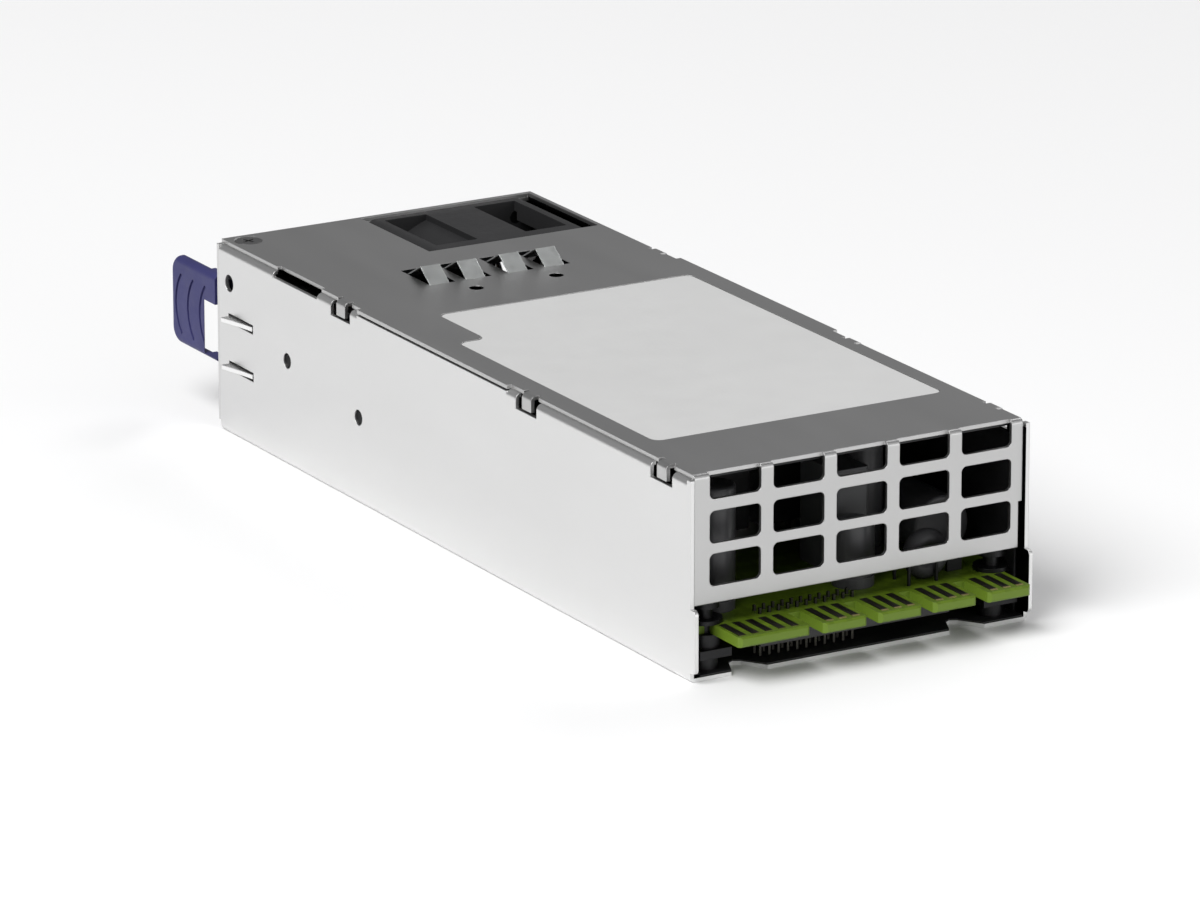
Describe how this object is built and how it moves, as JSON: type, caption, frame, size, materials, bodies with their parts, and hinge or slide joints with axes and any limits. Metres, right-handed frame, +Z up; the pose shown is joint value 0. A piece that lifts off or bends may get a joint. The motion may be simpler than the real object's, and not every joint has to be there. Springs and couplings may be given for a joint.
{
  "type": "power_supply",
  "caption": "Plug-in switching power supply: grey sheet-metal case, grille over a board-edge connector, cooling fan, upright mains inlet and blue sprung latch",
  "frame": {"origin": "centre of the flat underside of the case", "axes": "X across the case with the latch wall at minus X; Y from the board-edge connector at minus Y to the mains end at plus Y; Z up from the underside"},
  "size_m": [0.0754, 0.2154, 0.0422],
  "materials": {
    "case_steel": "zinc-plated sheet steel, satin",
    "label_film": "blank pale grey film, matte",
    "spring_metal": "tin-plated copper alloy, satin",
    "lining_film": "black insulating sheet, matte",
    "board_green": "olive green solder mask, semi-gloss",
    "contact_gold": "gold-plated contacts",
    "black_plastic": "black moulded plastic",
    "fan_plastic": "dark grey glass-filled plastic, matte",
    "screw_steel": "nickel-plated steel",
    "latch_blue": "indigo blue moulded plastic, semi-gloss",
    "light_clear": "clear light pipe",
    "ferrite": "dark ferrite, matte",
    "copper_wire": "enamelled copper wire",
    "can_sleeve": "shrink sleeve, semi-gloss",
    "sink_aluminium": "bare aluminium, satin",
    "epoxy_black": "moulded epoxy, matte",
    "box_grey": "grey moulded box, matte",
    "lead_sleeve": "lead sleeving",
    "fuse_ceramic": "off-white ceramic tube"
  },
  "bodies": {
    "case": {"chassis": "case_steel", "cover": "case_steel", "cover_screw": "screw_steel", "label": "label_film", "contact_fingers": "spring_metal", "lining_tray": "lining_film", "lining_lid": "lining_film", "main_board": "board_green", "edge_contacts": "contact_gold", "header_body": "black_plastic", "header_pins": "contact_gold", "board_supports": "screw_steel", "board_washers": "screw_steel", "board_screws": "screw_steel", "rear_panel": "case_steel", "status_light_pipe": "light_clear", "inlet_housing": "black_plastic", "inlet_pins": "screw_steel", "inlet_leads": "lead_sleeve", "fan_frame": "fan_plastic", "fan_bearings": "copper_wire", "fan_stator": "copper_wire", "fan_guard": "screw_steel", "fan_screws": "screw_steel", "fan_socket": "black_plastic", "fan_plug": "box_grey", "fan_lead": "lead_sleeve", "latch_leaf_root": "case_steel", "latch_rivets": "screw_steel", "output_capacitors": "can_sleeve", "filter_capacitor": "can_sleeve", "ring_choke": "ferrite", "choke_legs": "spring_metal", "output_inductor": "box_grey", "lying_capacitor": "can_sleeve", "capacitor_saddles": "black_plastic", "bulk_capacitor": "can_sleeve", "bus_clip": "spring_metal", "rectifier_heatsink": "sink_aluminium", "output_rectifiers": "epoxy_black", "switch_heatsink": "sink_aluminium", "power_switches": "epoxy_black", "transformer_core": "ferrite", "transformer_winding": "copper_wire", "pfc_choke_core": "ferrite", "pfc_choke_winding": "copper_wire", "line_choke_core": "ferrite", "line_choke_winding": "copper_wire", "mains_capacitor": "box_grey", "bridge_rectifier": "epoxy_black", "fuse": "fuse_ceramic", "fuse_clips": "screw_steel", "control_card": "board_green", "control_chips": "epoxy_black"},
    "latch": {"latch_leaf_arm": "case_steel", "latch_grip": "latch_blue"},
    "rotor": {"fan_rotor": "fan_plastic", "fan_magnet": "ferrite", "fan_shaft": "screw_steel"}
  },
  "joints": [
    {"name": "latch_press", "type": "hinge", "parent": "case", "child": "latch", "pos_m": [-0.0354, 0.06625, 0.0194], "axis": [0, 0, -1], "range_deg": [0, 6], "stiffness_Nm_per_rad": 2},
    {"name": "fan_spin", "type": "hinge", "parent": "case", "child": "rotor", "pos_m": [0.0152, 0.07725, 0.0199], "axis": [0, 1, 0], "continuous": true}
  ]
}
